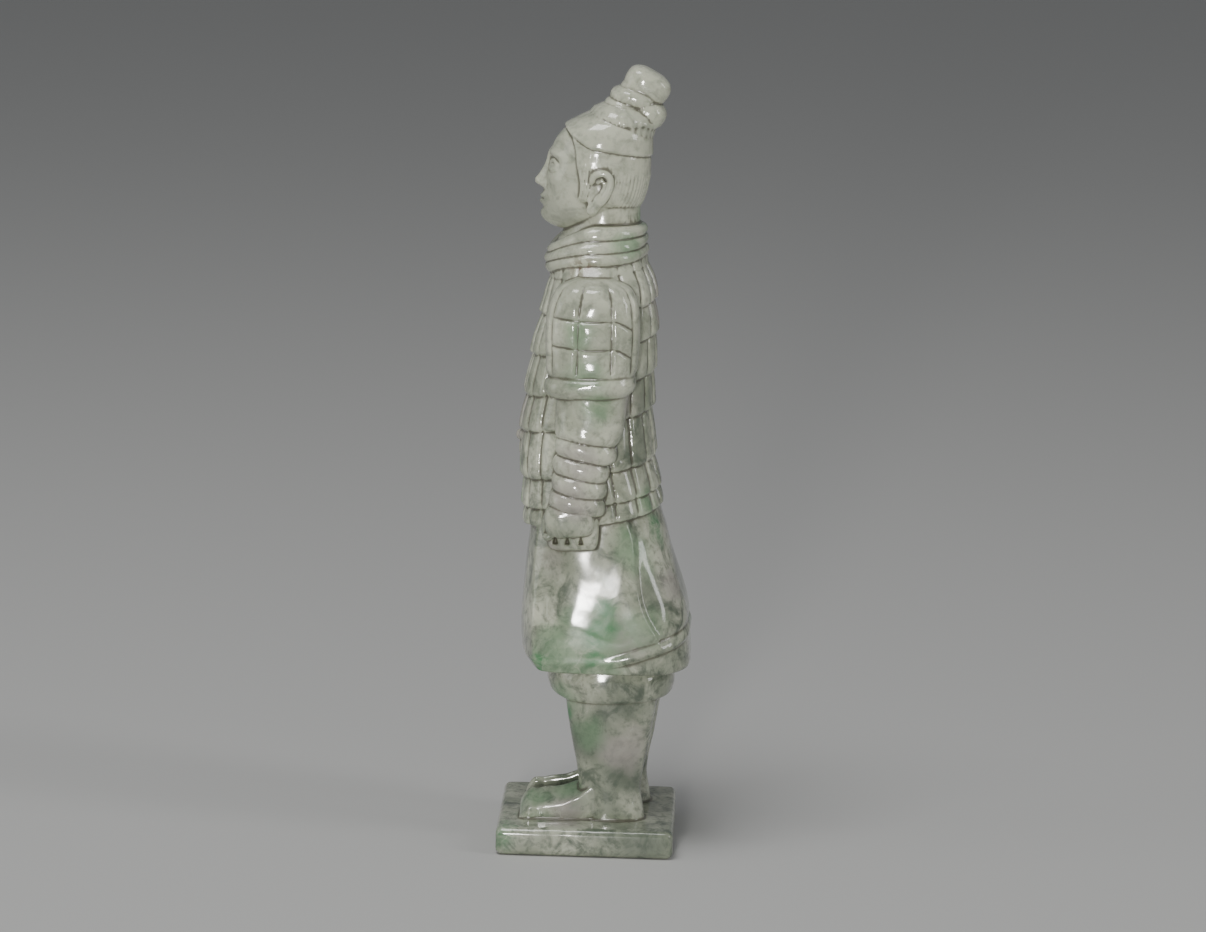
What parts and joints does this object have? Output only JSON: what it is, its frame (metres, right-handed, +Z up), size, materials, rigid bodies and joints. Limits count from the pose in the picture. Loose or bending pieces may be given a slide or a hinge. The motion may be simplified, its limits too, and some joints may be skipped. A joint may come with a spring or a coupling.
{
  "type": "soldier figurine",
  "caption": "Standing armoured soldier carved with its square plinth from one piece of polished jadeite, for a shelf or display case",
  "frame": {"origin": "middle of the plinth's flat underside", "axes": "+Z up, the soldier faces -Y, and its left hand is on +X"},
  "size_m": [0.0554, 0.0484, 0.2],
  "materials": {
    "jadeite": "polished, mottled grey-green jadeite"
  },
  "bodies": {
    "root": {"jadeite_soldier": "jadeite"}
  },
  "joints": []
}
